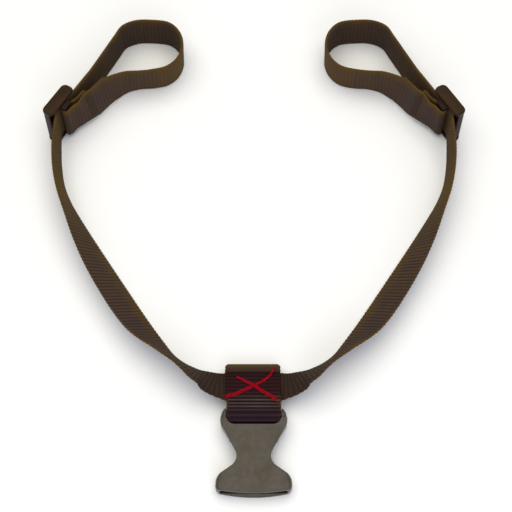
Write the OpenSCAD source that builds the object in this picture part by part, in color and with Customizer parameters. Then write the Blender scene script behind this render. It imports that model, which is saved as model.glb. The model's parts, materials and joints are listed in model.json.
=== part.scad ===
// Instrument strap lying on a table: a sewn centre tab with a buckle receptacle,
// and two webbing arms that end in adjustable loops. Millimetres.
// X runs across the strap, +Y from the buckle towards the loops, and Z = 0 is the table.

/* [Strap webbing] */
// Width of the strap webbing
strap_w = 19; // [18:0.5:22]
// Thickness of the strap webbing
strap_t = 1.4; // [1:0.1:1.7]
// Chamfer of the woven edges
strap_edge = 0.35; // [0.1:0.05:0.45]

/* [Sliders] */
// Length of a slider along the strap
slider_l = 19.5; // [17:0.5:22]
// Height of the rail at each end of a slider's bars
rail_h = 2.7; // [2.4:0.1:4]
// Depth of a slider's rails, across the strap's thickness
rail_d = 6; // [5:0.1:7]
// How far the rails reach in front of the outer bars
rail_lip = 2.3; // [2:0.1:3]
// Width of a slider's two outer bars
outer_bar_w = 3; // [2:0.1:3.4]
// Width of a slider's centre bar
centre_bar_w = 4; // [3:0.1:4.4]
// Depth of a slider's centre bar
centre_bar_d = 2.3; // [1.8:0.1:3]
// Height of the bosses that carry the centre bar, past the webbing
boss_h = 1.6; // [1:0.1:2.4]
// How far the bosses reach past each side of the centre bar
boss_side = 1.2; // [0.6:0.1:2]
// Radius of the rails' corners in plan
rail_r = 1.4; // [0.5:0.1:2]
// Radius of the bars' and bosses' corners in plan
bar_edge = 0.7; // [0.3:0.1:0.8]
// Room between the webbing's edges and the rails
slot_room = 0.3; // [0.2:0.1:0.6]
// Room between the sliding webbing and what it passes
slide_room = 0.3; // [0.2:0.05:0.5]
// Room between a folded ply and the bar inside it
wrap_room = 0.15; // [0.1:0.05:0.3]

/* [Tab] */
// Width of the tab webbing
tab_w = 25; // [22:0.5:28]
// Thickness of the tab webbing
tab_t = 1.6; // [1.2:0.1:1.8]
// Slope of the tab, down from the buckle to the table
tab_slope = 10; // [6:1:14]
// Distance from the buckle's bar axis to the strap's near edge
strap_from_bar = 3.8; // [3.5:0.1:6]
// Length of the hem that is turned down over the tab's front
hem_l = 2.4; // [1:0.1:5]
// Room between the tab's plies and the strap
ply_room = 0.05; // [0.02:0.01:0.2]

/* [Stitches] */
// Width of a leg of the red cross
cross_w = 1.8; // [1:0.1:3]
// Height of the red thread above the webbing
cross_h = 0.7; // [0.3:0.1:1.2]
// Width of one row of the end stitches
tack_w = 0.8; // [0.4:0.1:1.2]
// Height of the end stitches above the webbing
tack_h = 0.3; // [0.2:0.1:0.6]
// Spacing of the rows of end stitches
tack_step = 1.3; // [1.3:0.05:1.5]
// Margin of the end stitches from the webbing's edges
tack_margin = 2; // [1:0.5:4]

/* [Buckle] */
// Width of the buckle over its mouth
mouth_w = 34; // [32:0.5:38]
// Width of the buckle at its waist
waist_w = 14; // [13:0.2:16]
// Thickness of the buckle at its slot, from where its upper face slopes down to the lip
buckle_t = 9.2; // [8.8:0.1:10.5]
// Thickness of the buckle at its lip
mouth_t = 7.4; // [7:0.1:8.6]
// Length from the bar's axis to the mouth's lip
buckle_reach = 36.5; // [35:0.5:40]
// Distance from the lip to the waist
waist_at = 17.6; // [17:0.2:19]
// Radius of the hollows at the waist
waist_r = 5.5; // [4.5:0.1:5.8]
// Length of the mouth's straight sides
mouth_l = 5.2; // [4.6:0.2:6]
// Radius of the mouth's inner corners
mouth_r = 4.7; // [4:0.1:5]
// Length of the straight shoulders beyond the slot
shoulder_l = 0.4; // [0.2:0.1:1.5]
// Depth of the mouth
mouth_depth = 24; // [22:0.5:26]
// Wall above and below the mouth
mouth_wall = 1.3; // [1:0.1:1.6]
// Wall at the sides of the mouth
mouth_side = 1.9; // [1.5:0.1:3]
// Radius of the long edges
edge_r = 2.4; // [1:0.1:3]
// Bow of the mouth's lip
lip_bow = 1.6; // [0.5:0.1:2.5]
// Radius of the buckle's bar
bar_r = 1.6; // [1.2:0.1:1.9]
// Depth of the bar's axis below the buckle's upper face
bar_drop = 2.4; // [2.4:0.1:2.8]
// Room between the bar and the tab's loop
bar_room = 0.2; // [0.15:0.05:0.4]
// Room between the tab's loop and the slot's far edge
slot_gap = 0.9; // [0.6:0.1:2]
// Wall of the lugs beside the tab
lug_wall = 2.2; // [1.6:0.1:3]
// Room between the tab's edges and the lugs
lug_room = 0.4; // [0.3:0.1:1]
// Radius of the lugs round the bar
lug_r = 3; // [2.6:0.1:3.4]

/* [Hidden] */
$fn = 64;

// Colours of the webbing, the moulded plastics and the threads
webbing_colour = [0.16, 0.13, 0.10];
tab_colour = [0.13, 0.11, 0.11];
buckle_colour = [0.36, 0.34, 0.32];
slider_colour = [0.12, 0.10, 0.09];
red_thread = [0.65, 0.08, 0.14];
dark_thread = [0.09, 0.07, 0.07];

// Overlap that lets a cut run past a face
past = 1;

// Buckle's bar: its axis is parallel to X
bar_y = -93.5;
bar_z = buckle_t - bar_drop;
loop_in = bar_r + bar_room;
loop_mid = loop_in + tab_t / 2;
loop_out = loop_in + tab_t;
lip_y = bar_y - buckle_reach;

// Tab's own plane: p runs from the bar along the tab, q stands on it
ply_q = strap_t / 2 + ply_room + tab_t / 2;
strap_far_p = strap_from_bar + strap_w;
hem_q = ply_q + tab_t + ply_room;
hem_mid = (hem_q + ply_q) / 2;
hem_p = strap_far_p + ply_room;
function tab_y(p, q) = bar_y + p * cos(tab_slope) + q * sin(tab_slope);
function tab_z(p, q) = bar_z - p * sin(tab_slope) + q * cos(tab_slope);

// Slider's own frame: a runs along the strap, n out of its front, z up
slider_at = [-98, 70.4];
slider_turn = 60;
slider_h = strap_w + 2 * slot_room + 2 * rail_h;
strap_lift = rail_h + slot_room;
bar_front = -strap_t / 2 - slide_room;
rail_front = bar_front + rail_lip;
rail_back = rail_front - rail_d;
back_ply = strap_t + slide_room;
centre_back = back_ply + strap_t / 2 + wrap_room;
centre_front = centre_back + centre_bar_d;
front_ply = centre_front + wrap_room + strap_t / 2;
wrap_mid = (front_ply + back_ply) / 2;
wrap_r = (front_ply - back_ply) / 2;
function in_plan(a, n) = [
    slider_at[0] + a * cos(slider_turn) + n * sin(slider_turn),
    slider_at[1] + a * sin(slider_turn) - n * cos(slider_turn)
];
function on_slider(a, n) = concat(in_plan(a, n), [strap_lift, 90]);

// Sewn end: the webbing's front ply leaves the slider, and its tail lies against it
sewn_l = 15;
sewn_out = 4.6;
tail_room = 0.25;
sewn_n = front_ply + sewn_out;
tail_n = sewn_n - strap_t - tail_room;

// The strap's route. Each station is the lower edge's x and y, its lift off the table
// and the tilt of the webbing, which is 0 where it lies flat and 90 where it stands.
// The stations run from the tab's middle along the left arm, up to the slider.
far_y = tab_y(strap_far_p, 0);
far_lift = tab_z(strap_far_p, 0) - strap_t / 2 * cos(tab_slope);
arm_stations = [
    [7, far_y, far_lift, tab_slope],
    [0, far_y, far_lift, tab_slope],
    [-tab_w / 4, far_y, far_lift, tab_slope],
    [-tab_w / 2 - 0.3, far_y, far_lift, tab_slope],
    [-tab_w / 2 - 1, far_y, far_lift, tab_slope],
    [-16.5, far_y, 1.9, 25],
    [-21.5, -69.7, 1.1, 43],
    [-26.5, -68.3, 0.5, 57],
    [-32.4, -65.4, 0.1, 67],
    [-37.8, -61, 0, 66],
    [-43, -54, 0, 56],
    [-48.8, -45.7, 0, 47],
    [-55.4, -35.7, 0, 44],
    [-63.2, -23.6, 0, 45],
    [-71, -11.5, 0, 49],
    [-79, 1, 0, 57],
    [-86.2, 12.5, 0, 67],
    [-92.6, 23.5, 0, 75],
    [-97, 34, 0, 81],
    [-99.3, 45, 0.6, 84],
    [-100.2, 55, 2.2, 87]
];
// From the slider along the loop's outer leg, which is straight where the slider runs
leg_stations = [
    for (s = [[-7, 0.9], [-4.5, 0.15], [-2, 0], [6, 0], [14, 0], [22, 0], [27, 0]]) on_slider(s[0], s[1])
];
// Round the loop and back
loop_stations = [
    [-79, 107, 1.2, 90],
    [-74.2, 118, 0.2, 90],
    [-70.4, 125.2, 0, 90],
    [-63.5, 128.7, 0, 90],
    [-55, 129, 0, 90],
    [-46, 127.4, 0, 90],
    [-40.4, 121.5, 0, 90],
    [-38.8, 113.2, 0, 88],
    [-41.2, 105.3, 0, 85],
    [-46.5, 100, 0, 83],
    [-54, 97.7, 0, 83],
    [-61, 96.6, 0, 83],
    [-67.5, 94.2, 0.2, 84],
    [-72.8, 90, 0.6, 87]
];
// The inner leg, back to the sewn end
end_gap = 0.3;
return_stations = [
    for (s = [[25, 1.7], [20, 0.8], [sewn_l + end_gap, 0], [9, -1]]) on_slider(s[0], sewn_n + s[1])
];

route_steps = 3;
pivot_station = 9;
arm_last = len(arm_stations) - 1;
leg_last = arm_last + len(leg_stations);
loop_last = leg_last + len(loop_stations);
stations = concat(arm_stations, leg_stations, loop_stations, return_stations);

// A point on the smooth curve from b to c, with their neighbours a and d
function curve(a, b, c, d, t) =
    b + (c - a) * t / 2
      + (2 * a - 5 * b + 4 * c - d) * t * t / 2
      + (3 * (b - c) + d - a) * t * t * t / 2;
// The smooth curve through all the points of a list but its two ends
function smooth(points, steps) = concat(
    [for (i = [1 : len(points) - 3], k = [0 : steps - 1])
        curve(points[i - 1], points[i], points[i + 1], points[i + 2], k / steps)],
    [points[len(points) - 2]]
);
strap_route = smooth(stations, route_steps);
function along(station) = (station - 1) * route_steps;
function part_of(list, from, to) = [for (i = [from : to]) list[i]];

// Horizontal direction of a route at one of its points
function heading(list, i) =
    let (step = list[min(i + 1, len(list) - 1)] - list[max(i - 1, 0)])
    [step[0], step[1]] / norm([step[0], step[1]]);
// Horizontal direction across a route, towards its raised edge
function outward(list, i) = let (d = heading(list, i)) [-d[1], d[0]];
// A point of the webbing: s along its width from the lower edge, n through its thickness
function webbing_point(list, i, s, n) =
    let (
        here = list[i],
        out = outward(list, i),
        tilt = here[3],
        flat = s * cos(tilt) - n * sin(tilt),
        rise = s * sin(tilt) + n * cos(tilt) + strap_t / 2 * cos(tilt)
    )
    [here[0] + flat * out[0], here[1] + flat * out[1], here[2] + rise];

// Cross-section of the strap, with chamfered edges
strap_section = [
    [0, strap_edge - strap_t / 2], [strap_edge, -strap_t / 2],
    [strap_w - strap_edge, -strap_t / 2], [strap_w, strap_edge - strap_t / 2],
    [strap_w, strap_t / 2 - strap_edge], [strap_w - strap_edge, strap_t / 2],
    [strap_edge, strap_t / 2], [0, strap_t / 2 - strap_edge]
];

// Webbing swept along a stretch of a route, whose headings come from the whole route
module webbing(list, from, to) {
    sides = len(strap_section);
    rings = to - from;
    points = [for (i = [from : to], c = strap_section) webbing_point(list, i, c[0], c[1])];
    walls = [for (r = [0 : rings - 1], k = [0 : sides - 1])
        let (b = r * sides + k, c = r * sides + (k + 1) % sides)
        each [[b, b + sides, c], [c, b + sides, c + sides]]];
    first = [for (k = [1 : sides - 2]) [0, k, k + 1]];
    last = [for (k = [1 : sides - 2]) [rings * sides, rings * sides + k + 1, rings * sides + k]];
    polyhedron(points, concat(first, walls, last));
}

// Outline of a ply of thickness t along a plan path
function ply_outline(path, t) =
    let (
        last = len(path) - 1,
        side = [for (i = [0 : last])
            let (d = path[min(i + 1, last)] - path[max(i - 1, 0)]) [-d[1], d[0]] / norm(d) * t / 2]
    )
    concat([for (i = [0 : last]) path[i] + side[i]], [for (i = [last : -1 : 0]) path[i] - side[i]]);
function arc(centre, r, from, to, steps) =
    [for (k = [0 : steps]) let (g = from + (to - from) * k / steps) centre + r * [cos(g), sin(g)]];

// A block in plan with round corners
module round_block(low, high, r) {
    translate([low[0] + r, low[1]]) square([high[0] - low[0] - 2 * r, high[1] - low[1]]);
    translate([low[0], low[1] + r]) square([high[0] - low[0], high[1] - low[1] - 2 * r]);
    for (x = [low[0] + r, high[0] - r], y = [low[1] + r, high[1] - r])
        translate([x, y]) circle(r);
}
// A straight band that runs on by half its width past both of its points
module band(from, to, width) {
    d = to - from;
    translate(from) rotate(atan2(d[1], d[0]))
        translate([-width / 2, -width / 2]) square([norm(d) + width, width]);
}

// Places something drawn in the slider's own frame, or on the tab's own plane
module at_slider() {
    translate([slider_at[0], slider_at[1], 0]) rotate(slider_turn) mirror([0, 1, 0]) children();
}
module at_tab() {
    translate([0, bar_y, bar_z]) rotate([-tab_slope, 0, 0]) children();
}

// The arms swing on an upright axis where the webbing stands steepest beside the tab
pivot_i = along(pivot_station);
pivot_tilt = stations[pivot_station][3];
pivot_heading = heading(strap_route, pivot_i);
pivot_mid = webbing_point(strap_route, pivot_i, strap_w / 2, 0);
pivot_gap = 0.3;
pivot_r = strap_w / 2 * cos(pivot_tilt) + strap_t / 2 + pivot_gap;
module at_pivot() {
    translate([pivot_mid[0], pivot_mid[1], 0])
        rotate(atan2(pivot_heading[1], pivot_heading[0])) children();
}
module pivot_round(r) {
    translate([0, 0, -past]) cylinder(r = r, h = strap_w + 2 * past);
}

// Buckle's outline: shoulders, a hollow at each side of the waist, and the mouth.
// Its straight flanks run a little inside the round stretches, so that they cross.
flank_in = 0.15;
shoulder = tab_w / 2 + lug_room + lug_wall;
slot_y = bar_y - loop_out - slot_gap;
shoulder_corner = [shoulder, slot_y - shoulder_l];
hollow_at = [waist_w / 2 + waist_r, lip_y + waist_at];
mouth_corner = [mouth_w / 2 - mouth_r, lip_y + mouth_l];
// Where a line from a point touches a circle, on the circle's inner side
function touch(from, centre, r) =
    let (v = centre - from, g = atan2(v[1], v[0]) - asin(r / norm(v)))
    from + sqrt(norm(v) * norm(v) - r * r) * [cos(g), sin(g)];
// Direction square to the line that runs between two circles
function between(a, ra, b, rb) =
    let (v = b - a, g = atan2(v[1], v[0]) + asin((ra + rb) / norm(v)))
    [sin(g), -cos(g)];
module half_outline() {
    hollow = waist_r - flank_in;
    corner = mouth_r - flank_in;
    square_to = between(hollow_at, hollow, mouth_corner, corner);
    difference() {
        union() {
            polygon([
                [0, slot_y], [shoulder, slot_y], shoulder_corner, touch(shoulder_corner, hollow_at, hollow),
                hollow_at + hollow * square_to, mouth_corner - corner * square_to,
                [mouth_w / 2, mouth_corner[1]], [mouth_w / 2, lip_y - past], [0, lip_y - past]
            ]);
            translate(mouth_corner) circle(mouth_r);
        }
        translate(hollow_at) circle(waist_r);
    }
}

module buckle_receptacle() {
    half = mouth_w / 2;
    lip_r = (half * half + lip_bow * lip_bow) / (2 * lip_bow);
    lug_in = tab_w / 2 + lug_room;
    face_slope = atan((buckle_t - mouth_t) / (slot_y - lip_y));
    cavity_edge = 1.6;
    edge_out = 0.4;
    color(buckle_colour) {
        difference() {
            intersection() {
                linear_extrude(buckle_t) for (side = [0, 1]) mirror([side, 0]) half_outline();
                translate([0, bar_y, 0]) rotate([90, 0, 0]) linear_extrude(buckle_reach + past)
                    round_block([-half - edge_out, 0], [half + edge_out, 2 * buckle_t], edge_r);
                translate([0, lip_y, mouth_t]) rotate([90 + face_slope, 0, 0])
                    translate([0, 0, -buckle_reach]) linear_extrude(2 * buckle_reach)
                        round_block([-half - edge_out, -2 * buckle_t], [half + edge_out, 0], edge_r);
                translate([0, lip_y + lip_r, -past]) cylinder(r = lip_r, h = buckle_t + 2 * past, $fn = 200);
            }
            translate([0, lip_y + mouth_depth, 0]) rotate([90, 0, 0]) linear_extrude(mouth_depth + past)
                round_block(
                    [mouth_side - half, mouth_wall], [half - mouth_side, mouth_t - mouth_wall], cavity_edge
                );
        }
        for (side = [-1, 1])
            translate([side > 0 ? lug_in : -lug_in - lug_wall, bar_y, bar_z]) rotate([90, 0, 90])
                linear_extrude(lug_wall) {
                    circle(lug_r);
                    polygon([
                        [0, lug_r], [0, -lug_r], [slot_y - bar_y, edge_r - bar_z],
                        [slot_y - bar_y - edge_r, edge_r - bar_z],
                        [slot_y - bar_y - edge_r, bar_drop - edge_r / 2], [slot_y - bar_y, bar_drop - edge_r / 2]
                    ]);
                }
        translate([-lug_in - lug_wall / 2, bar_y, bar_z]) rotate([0, 90, 0])
            cylinder(r = bar_r, h = 2 * lug_in + lug_wall);
    }
}

// The tab's two plies close up from the loop round the bar to the strap between them
module tab_webbing() {
    bend = 1.3;
    front = [
        [hem_p + bend, ply_q], [hem_p, ply_q], [hem_p / 2, ply_q], [strap_from_bar + bend, ply_q],
        [strap_from_bar - bend, (ply_q + loop_mid) / 2], [0, loop_mid], [-bend, loop_mid]
    ];
    back = [for (i = [len(front) - 1 : -1 : 2]) [front[i][0], -front[i][1]]];
    path = concat(
        smooth(front, 4),
        arc([0, 0], loop_mid, 105, 255, 15),
        smooth(back, 4),
        arc([hem_p, (hem_q - ply_q) / 2], hem_mid, -90, 90, 15),
        [[hem_p - hem_l, hem_q]]
    );
    color(tab_colour) at_tab() translate([-tab_w / 2, 0, 0]) rotate([90, 0, 90])
        linear_extrude(tab_w) polygon(ply_outline(path, tab_t));
}

module strap_middle() {
    left = part_of(strap_route, 0, pivot_i + 1);
    right = [for (i = [len(left) - 1 : -1 : 1]) [-left[i][0], left[i][1], left[i][2], left[i][3]]];
    whole = concat(right, left);
    color(webbing_colour) difference() {
        webbing(whole, 1, len(whole) - 2);
        for (side = [0, 1]) mirror([side, 0, 0]) at_pivot() pivot_round(pivot_r + pivot_gap / 2);
    }
}

module red_cross_stitch() {
    middle = [-0.3, 14.6];
    hem_edge = hem_p - hem_l;
    edge_x = tab_w / 2 - cross_w * 0.7 - 0.1;
    legs = [[-edge_x, 8.2], [6.2, hem_edge - cross_w], [-8.4, hem_edge - cross_w], [edge_x, 6.4]];
    color(red_thread) at_tab() {
        translate([0, 0, ply_q + tab_t / 2]) linear_extrude(cross_h)
            for (end = legs) band(middle, end, cross_w);
        translate([0, 0, hem_q + tab_t / 2]) linear_extrude(cross_h)
            band([8.4, hem_edge + cross_w * 0.7], [9.2, hem_p], cross_w);
    }
}

module arm_strap() {
    before = pivot_i - 2 * route_steps;
    color(webbing_colour) difference() {
        webbing(strap_route, before, along(leg_last));
        at_pivot() difference() {
            translate([-strap_w, -strap_w, -past]) cube([strap_w, 2 * strap_w, strap_w + 2 * past]);
            pivot_round(pivot_r - pivot_gap / 2);
        }
    }
}

module loop_strap() {
    color(webbing_colour) webbing(strap_route, along(leg_last), along(loop_last - 1));
}

module loop_return() {
    color(webbing_colour) webbing(strap_route, along(loop_last - 1), len(strap_route) - 1);
}

module slider() {
    half = slider_l / 2;
    boss = centre_bar_w / 2 + boss_side;
    color(slider_colour) at_slider() {
        for (z = [0, slider_h - rail_h])
            translate([0, 0, z]) linear_extrude(rail_h)
                round_block([-half, rail_back], [half, rail_front], rail_r);
        for (z = [rail_h - boss_h, slider_h - rail_h])
            translate([0, 0, z]) linear_extrude(boss_h)
                round_block([-boss, rail_back + rail_r], [boss, centre_front], bar_edge);
        for (a = [-half, half - outer_bar_w])
            linear_extrude(slider_h)
                round_block([a, rail_back], [a + outer_bar_w, bar_front], bar_edge);
        translate([0, 0, rail_h - boss_h]) linear_extrude(slider_h - 2 * rail_h + 2 * boss_h)
            round_block([-centre_bar_w / 2, centre_back], [centre_bar_w / 2, centre_front], bar_edge);
    }
}

// Path of the sewn end in the slider's plan: front ply, fold round the bar, tail
wrap_a = -centre_bar_w / 2 + 0.4;
sewn_front = smooth([
    [sewn_l + 3, sewn_n + 0.5], [sewn_l, sewn_n], [sewn_l - 3, sewn_n - 0.5], [sewn_l - 6, sewn_n - 1],
    [5, sewn_n - 2.4], [centre_bar_w / 2, front_ply + 0.1], [wrap_a, front_ply], [wrap_a - 3, front_ply]
], 4);
sewn_tail = smooth([
    [wrap_a - 3, back_ply], [wrap_a, back_ply], [centre_bar_w / 2 + 0.6, back_ply + 0.12],
    [6, back_ply + 1.9], [sewn_l - 6, tail_n - 1], [sewn_l - 1.5, tail_n - 0.25], [sewn_l + 3, tail_n + 0.5]
], 4);
sewn_path = concat(sewn_front, arc([wrap_a, wrap_mid], wrap_r, 100, 260, 14), sewn_tail);

module sewn_end() {
    color(webbing_colour) at_slider() translate([0, 0, strap_lift])
        linear_extrude(strap_w) polygon(ply_outline(sewn_path, strap_t));
}

module end_stitch() {
    from = sewn_front[0];
    to = sewn_front[4];
    slope = atan2(to[1] - from[1], to[0] - from[0]);
    seat = strap_t / 2;
    color(dark_thread) at_slider() translate([from[0], from[1], strap_lift]) rotate(slope)
        for (row = [1 : 3])
            translate([row * tack_step - tack_w, -seat - tack_h, tack_margin])
                cube([tack_w, tack_h, strap_w - 2 * tack_margin]);
}

module right() { mirror([1, 0, 0]) children(); }

buckle_receptacle();
tab_webbing();
strap_middle();
red_cross_stitch();
arm_strap();  // left_arm_strap
loop_strap();  // left_loop_strap
loop_return();  // left_loop_return
slider();  // left_slider
sewn_end();  // left_sewn_end
end_stitch();  // left_end_stitch
right() arm_strap();  // right_arm_strap
right() loop_strap();  // right_loop_strap
right() loop_return();  // right_loop_return
right() slider();  // right_slider
right() sewn_end();  // right_sewn_end
right() end_stitch();  // right_end_stitch
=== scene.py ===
# An instrument strap of ribbed webbing, lying on a table: a sewn tab carries a buckle receptacle,
# and the strap's two arms end in adjustable loops. Metres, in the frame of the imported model.
import json
import math
from bisect import bisect_right
from functools import partial

import bmesh
import bpy
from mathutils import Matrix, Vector, noise


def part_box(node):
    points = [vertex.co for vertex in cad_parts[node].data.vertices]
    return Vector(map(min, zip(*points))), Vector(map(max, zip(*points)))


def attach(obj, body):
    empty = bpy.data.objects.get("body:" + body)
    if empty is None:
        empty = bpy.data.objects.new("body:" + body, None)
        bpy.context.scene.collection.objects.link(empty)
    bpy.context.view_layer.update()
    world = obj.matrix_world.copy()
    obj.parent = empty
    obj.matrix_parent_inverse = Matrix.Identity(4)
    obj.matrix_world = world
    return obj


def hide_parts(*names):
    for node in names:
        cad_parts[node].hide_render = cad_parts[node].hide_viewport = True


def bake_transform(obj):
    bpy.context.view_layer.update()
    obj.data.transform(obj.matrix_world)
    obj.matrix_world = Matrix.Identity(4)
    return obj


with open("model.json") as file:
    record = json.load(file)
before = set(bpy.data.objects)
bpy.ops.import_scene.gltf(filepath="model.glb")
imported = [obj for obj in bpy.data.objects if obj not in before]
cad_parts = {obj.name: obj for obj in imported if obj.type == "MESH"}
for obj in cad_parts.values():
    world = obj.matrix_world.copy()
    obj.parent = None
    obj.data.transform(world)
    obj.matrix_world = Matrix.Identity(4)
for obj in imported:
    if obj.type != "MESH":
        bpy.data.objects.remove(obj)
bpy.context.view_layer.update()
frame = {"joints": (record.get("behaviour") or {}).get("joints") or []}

# Camera. It looks down on the strap from the buckle's end, as someone who stands at the table does.
view_height = math.radians(60)
view_distance = 0.600
look_at = Vector((0.001, -0.0063, 0.0))
camera_data = bpy.data.cameras.new("table_camera")
camera_data.lens = 85.3
camera_data.sensor_width = 36.0
camera = bpy.data.objects.new("table_camera", camera_data)
camera.location = look_at + view_distance * Vector((0.0, -math.cos(view_height), math.sin(view_height)))
camera.rotation_euler = (math.pi / 2 - view_height, 0.0, 0.0)
bpy.context.scene.collection.objects.link(camera)
bpy.context.scene.camera = camera

# Table and studio light. A pale matt table in an even room, with one large warm lamp overhead and a
# weaker, cooler one low over the buckle's end.
floor_drop = 0.0001
bpy.ops.mesh.primitive_plane_add(size=4.0, location=(0.0, 0.0, -floor_drop))
table_top = bpy.context.object
table_top.name = "table_top"
table_paint = bpy.data.materials.new("table_paint")
table_paint.use_nodes = True
table_shader = table_paint.node_tree.nodes["Principled BSDF"]
table_shader.inputs["Base Color"].default_value = (0.88, 0.93, 1.0, 1.0)
table_shader.inputs["Roughness"].default_value = 0.7
table_top.data.materials.append(table_paint)


def studio_lamp(name, place, aim, size, power, colour):
    """A square soft lamp that faces a point."""
    lamp_data = bpy.data.lights.new(name, "AREA")
    lamp_data.size = size
    lamp_data.energy = power
    lamp_data.color = colour
    lamp = bpy.data.objects.new(name, lamp_data)
    lamp.location = place
    lamp.rotation_euler = (Vector(aim) - Vector(place)).to_track_quat("-Z", "Y").to_euler()
    bpy.context.scene.collection.objects.link(lamp)


studio_lamp("overhead_lamp", (-0.05, 0.12, 1.0), (0.0, 0.0, 0.0), 1.3, 10.3, (1.0, 0.90, 0.72))
studio_lamp("front_lamp", (0.15, -0.95, 0.45), (0.0, 0.0, 0.0), 0.9, 4.5, (0.96, 0.93, 1.0))
room = bpy.data.worlds.new("bright_room")
room.use_nodes = True
room.node_tree.nodes["Background"].inputs["Color"].default_value = (0.96, 0.97, 1.0, 1.0)
room.node_tree.nodes["Background"].inputs["Strength"].default_value = 0.43
bpy.context.scene.world = room
bpy.context.scene.view_settings.view_transform = "Standard"

# Strap webbing. One narrow strap of dark ribbed webbing runs from loop to loop and lies on its edge
# for most of its way. It is woven with a rib across it every 2 mm, and its two halves are made
# from the middle of the tab, where they meet out of sight.
strap_w = 0.019
strap_t = 0.0014
strap_rib = 0.0020
strap_rib_depth = 0.00026
strap_from_bar = 0.0038
tab_slope = math.radians(10)
tab_low, tab_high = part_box("tab_webbing")
tab_w = tab_high[0] - tab_low[0]
joints = {joint["name"]: joint for joint in frame["joints"]}
bar = Vector(joints["buckle_pivot"]["pos_m"])


def on_tab(x, p, q):
    """A point on the tab: p runs from the buckle's bar along the tab, and q stands on it."""
    y = p * math.cos(tab_slope) + q * math.sin(tab_slope)
    z = q * math.cos(tab_slope) - p * math.sin(tab_slope)
    return bar + Vector((x, y, z))


def tab_place(point):
    """The x, p and q of a point on the tab."""
    away = point - bar
    p = away.y * math.cos(tab_slope) - away.z * math.sin(tab_slope)
    q = away.y * math.sin(tab_slope) + away.z * math.cos(tab_slope)
    return away.x, p, q


def ease(value, start, end):
    """A smooth step from 0 to 1 between two values."""
    t = max(0.0, min(1.0, (value - start) / (end - start)))
    return t * t * (3 - 2 * t)


slider_at = Vector((-0.098, 0.0704, 0.0))
slider_turn = math.radians(60)
strap_lift = 0.003
sewn_n = 0.0103
sewn_l = 0.015
lean_most = 0.2
lean_from, lean_to = 0.004, 0.013


def in_slider(a, n, z=0.0):
    """A point in the left slider's own frame: a along the strap, n out of its front, z up."""
    x = a * math.cos(slider_turn) + n * math.sin(slider_turn)
    y = a * math.sin(slider_turn) - n * math.cos(slider_turn)
    return slider_at + Vector((x, y, z))


def lean_back(a):
    """How far the strap's end leans back beyond the slider, for each unit of height."""
    return lean_most * ease(a, lean_from, lean_to)


def station(a, n, lean=0.0):
    """A station of the strap's route that is given in the slider's frame."""
    place = in_slider(a, n)
    return (place.x, place.y, strap_lift, 90 + math.degrees(math.atan(lean)))


# Each station is the lower edge's x and y, its lift off the table, and the tilt of the webbing,
# which is 0 where it lies flat and 90 where it stands. These are the left half's.
far_edge = on_tab(0.0, strap_from_bar + strap_w, 0.0)
far_y = far_edge.y
far_lift = far_edge.z - strap_t / 2 * math.cos(tab_slope)
stations = [
    (0.007, far_y, far_lift, 10), (0.0, far_y, far_lift, 10), (-tab_w / 4, far_y, far_lift, 10),
    (-tab_w / 2, far_y, far_lift, 10), (-0.0165, far_y, 0.0019, 25), (-0.0215, -0.0697, 0.0011, 43),
    (-0.0265, -0.0683, 0.0005, 57), (-0.0324, -0.0654, 0.0001, 67), (-0.0378, -0.0610, 0.0, 66),
    (-0.0430, -0.0540, 0.0, 56), (-0.0488, -0.0457, 0.0, 47), (-0.0554, -0.0357, 0.0, 44),
    (-0.0632, -0.0236, 0.0, 45), (-0.0710, -0.0115, 0.0, 49), (-0.0790, 0.0010, 0.0, 57),
    (-0.0862, 0.0125, 0.0, 67), (-0.0926, 0.0235, 0.0, 75), (-0.0970, 0.0340, 0.0, 81),
    (-0.0993, 0.0450, 0.0006, 84), (-0.1002, 0.0550, 0.0022, 87), station(-0.007, 0.0009),
    station(-0.0045, 0.00015), station(-0.002, 0.0), station(0.006, 0.0), station(0.014, 0.0),
    station(0.022, 0.0), station(0.027, 0.0), (-0.0790, 0.1070, 0.0012, 90),
    (-0.0742, 0.1180, 0.0002, 90), (-0.0704, 0.1252, 0.0, 90), (-0.0635, 0.1287, 0.0, 90),
    (-0.0550, 0.1290, 0.0, 90), (-0.0460, 0.1274, 0.0, 90), (-0.0404, 0.1215, 0.0, 90),
    (-0.0388, 0.1132, 0.0, 88), (-0.0412, 0.1053, 0.0, 85), (-0.0465, 0.1000, 0.0, 83),
    (-0.0540, 0.0980, 0.0, 82), (-0.0610, 0.0974, 0.0, 81), (-0.0675, 0.0951, 0.0002, 86),
    (-0.0728, 0.0906, 0.0006, 94), station(0.025, sewn_n + 0.0017, lean_back(0.025)),
    station(0.020, sewn_n + 0.0008, lean_back(0.020)), station(sewn_l, sewn_n, lean_back(sewn_l)),
    station(0.012, sewn_n - 0.0011, lean_back(0.012)),
]
loop_split = 37
route_steps = 12


def smooth(points, steps):
    """A smooth curve through all the points but the first and the last."""
    curve = []
    for four in zip(points, points[1:], points[2:], points[3:]):
        for k in range(steps):
            t = k / steps
            place = []
            for p, q, r, s in zip(*four):
                bow = 2 * p - 5 * q + 4 * r - s
                swing = 3 * (q - r) + s - p
                place.append(q + (r - p) * t / 2 + bow * t * t / 2 + swing * t ** 3 / 2)
            curve.append(tuple(place))
    curve.append(tuple(points[-2]))
    return curve


def with_neighbours(points):
    """Each point of a row, between the point before it and the point after it."""
    return zip(points[:1] + points[:-1], points, points[1:] + points[-1:])


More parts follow.
